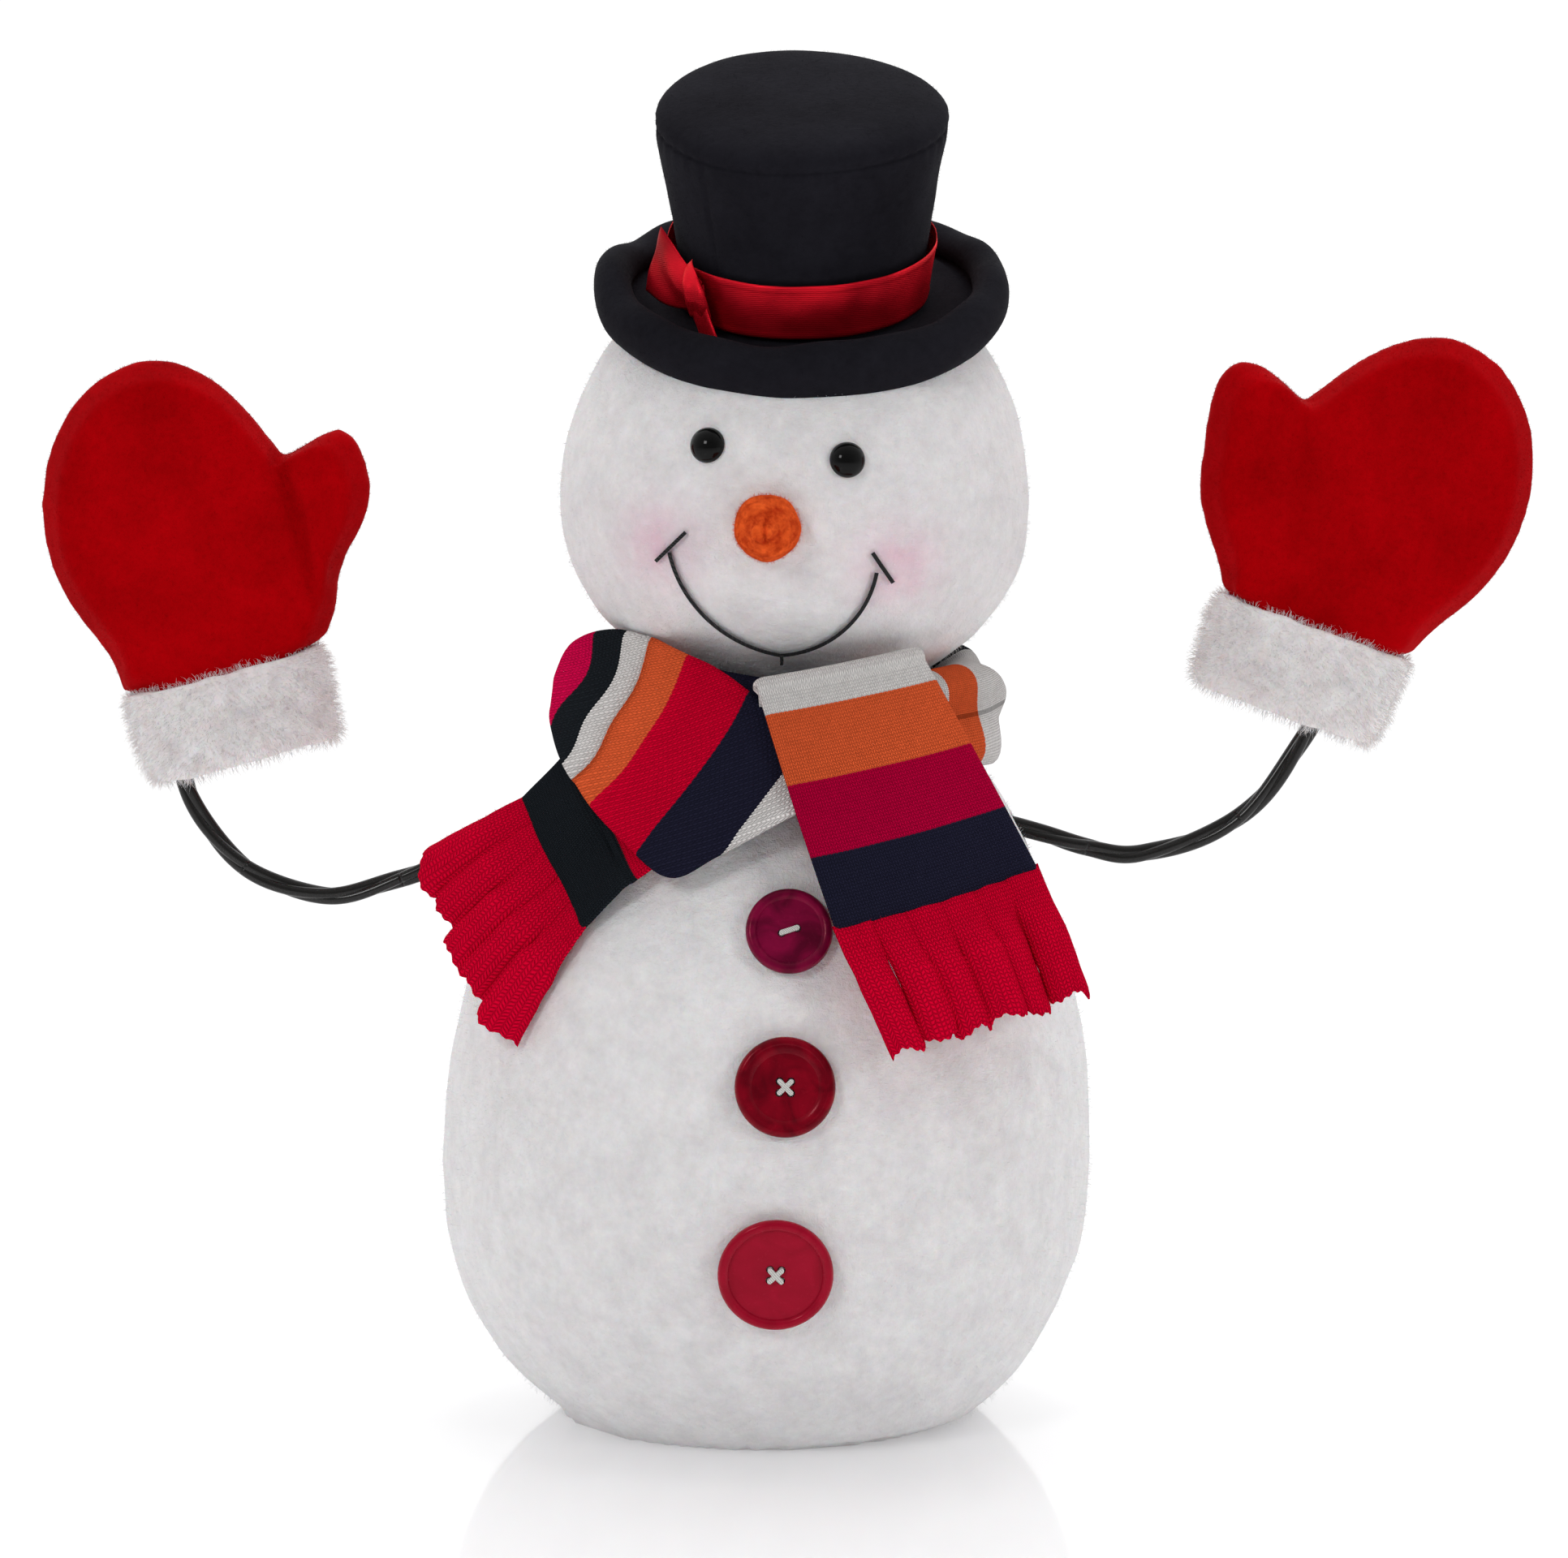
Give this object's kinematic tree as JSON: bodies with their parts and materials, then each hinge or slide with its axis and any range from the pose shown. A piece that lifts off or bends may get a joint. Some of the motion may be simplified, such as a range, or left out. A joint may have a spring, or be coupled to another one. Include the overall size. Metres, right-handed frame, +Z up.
{
  "type": "plush yard snowman",
  "caption": "Stuffed fleece snowman with a velvet top hat, striped knitted scarf, sewn-on buttons and red mittens on bendable wire arms.",
  "frame": {"origin": "middle of the flat base, on the surface it stands on", "axes": "+Z up, -Y out of the face, +X to the right as seen from the front"},
  "size_m": [0.4936, 0.2292, 0.4569],
  "materials": {
    "fleece_white": "white brushed fleece with a soft nap",
    "fibre_fill": "white polyester fibre fill",
    "base_cloth": "plain white backing cloth",
    "card": "stiff board",
    "bean_bag": "woven pouch of plastic pellets",
    "cord_white": "strong white thread",
    "button_wine": "pearly dark wine plastic",
    "button_crimson": "polished crimson plastic",
    "button_red": "polished bright red plastic",
    "thread_white": "white cotton thread",
    "thread_black": "black cotton thread",
    "eye_black": "polished black plastic",
    "washer_white": "plain white plastic",
    "nose_felt": "needle-felted orange wool",
    "velvet_black": "black cotton velvet",
    "buckram": "stiffened black lining",
    "satin_red": "red satin ribbon",
    "steel_wire": "plain steel wire",
    "wire_black": "glossy black plastic sleeve over twisted wire",
    "velvet_red": "red velvet with a short pile",
    "fur_white": "white plush fur",
    "knit_scarf": "striped fine-gauge knit"
  },
  "bodies": {
    "root": {"base_panel": "base_cloth", "base_board": "card", "weight_bag": "bean_bag", "body_cover": "fleece_white", "body_stuffing": "fibre_fill", "neck_cord": "cord_white", "button_top": "button_wine", "button_middle": "button_crimson", "button_bottom": "button_red", "button_thread_top": "thread_white", "button_thread_middle": "thread_white", "button_thread_bottom": "thread_white", "shoulder_wire": "wire_black", "scarf_neck_loop": "knit_scarf", "scarf_front_wrap": "knit_scarf", "scarf_tail_fold": "knit_scarf"},
    "head": {"head_cover": "fleece_white", "head_stuffing": "fibre_fill", "left_eye": "eye_black", "right_eye": "eye_black", "left_eye_washer": "washer_white", "right_eye_washer": "washer_white", "nose": "nose_felt", "smile_thread": "thread_black", "left_smile_stitch": "thread_black", "right_smile_stitch": "thread_black", "hat_crown": "velvet_black", "hat_top": "velvet_black", "hat_brim": "velvet_black", "hat_brim_wire": "steel_wire", "hat_stiffener": "buckram", "hat_stuffing": "fibre_fill", "hat_ribbon": "satin_red", "hat_bow_loop": "satin_red", "hat_bow_tail": "satin_red", "hat_bow_knot": "satin_red"},
    "left_upper_arm": {"left_upper_wire": "wire_black"},
    "left_forearm": {"left_forearm_wire": "wire_black"},
    "left_hand": {"left_hand_wire": "wire_black", "left_mitten_palm": "velvet_red", "left_mitten_back": "velvet_red", "left_mitten_stuffing": "fibre_fill", "left_mitten_cuff": "fur_white"},
    "left_scarf_end": {"left_scarf_tail": "knit_scarf", "left_scarf_fringe": "knit_scarf"},
    "right_upper_arm": {"right_upper_wire": "wire_black"},
    "right_forearm": {"right_forearm_wire": "wire_black"},
    "right_hand": {"right_hand_wire": "wire_black", "right_mitten_palm": "velvet_red", "right_mitten_back": "velvet_red", "right_mitten_stuffing": "fibre_fill", "right_mitten_cuff": "fur_white"},
    "right_scarf_end": {"right_scarf_tail": "knit_scarf", "right_scarf_fringe": "knit_scarf"}
  },
  "joints": [
    {"name": "head_turn", "type": "hinge", "parent": "root", "child": "head", "pos_m": [0.01115, 0, 0.304], "axis": [0.0958, 0, 0.9954], "range_deg": [-10, 10], "stiffness_Nm_per_rad": 0.12},
    {"name": "left_shoulder_bend", "type": "hinge", "parent": "root", "child": "left_upper_arm", "pos_m": [-0.084, 0, 0.1935], "axis": [0, 1, 0], "range_deg": [-40, 10]},
    {"name": "left_elbow_bend", "type": "hinge", "parent": "left_upper_arm", "child": "left_forearm", "pos_m": [-0.145, 0, 0.174], "axis": [0, 1, 0], "range_deg": [-50, 10]},
    {"name": "left_wrist_turn", "type": "hinge", "parent": "left_forearm", "child": "left_hand", "pos_m": [-0.19, 0, 0.209], "axis": [-0.44, 0, 0.898], "range_deg": [-45, 45]},
    {"name": "right_shoulder_bend", "type": "hinge", "parent": "root", "child": "right_upper_arm", "pos_m": [0.093, 0, 0.195], "axis": [0, -1, 0], "range_deg": [-40, 10]},
    {"name": "right_elbow_bend", "type": "hinge", "parent": "right_upper_arm", "child": "right_forearm", "pos_m": [0.128, 0, 0.188], "axis": [0, -1, 0], "range_deg": [-50, 10]},
    {"name": "right_wrist_turn", "type": "hinge", "parent": "right_forearm", "child": "right_hand", "pos_m": [0.1815, 0, 0.228], "axis": [0.3785, 0, 0.9256], "range_deg": [-45, 45]},
    {"name": "left_scarf_lift", "type": "hinge", "parent": "root", "child": "left_scarf_end", "pos_m": [-0.0525, -0.0625, 0.209], "axis": [-0.3698, 0.6616, 0.6523], "range_deg": [0, 40]},
    {"name": "right_scarf_lift", "type": "hinge", "parent": "root", "child": "right_scarf_end", "pos_m": [0.0239, -0.06592, 0.2618], "axis": [-0.9508, -0.2831, -0.1256], "range_deg": [0, 40]}
  ]
}
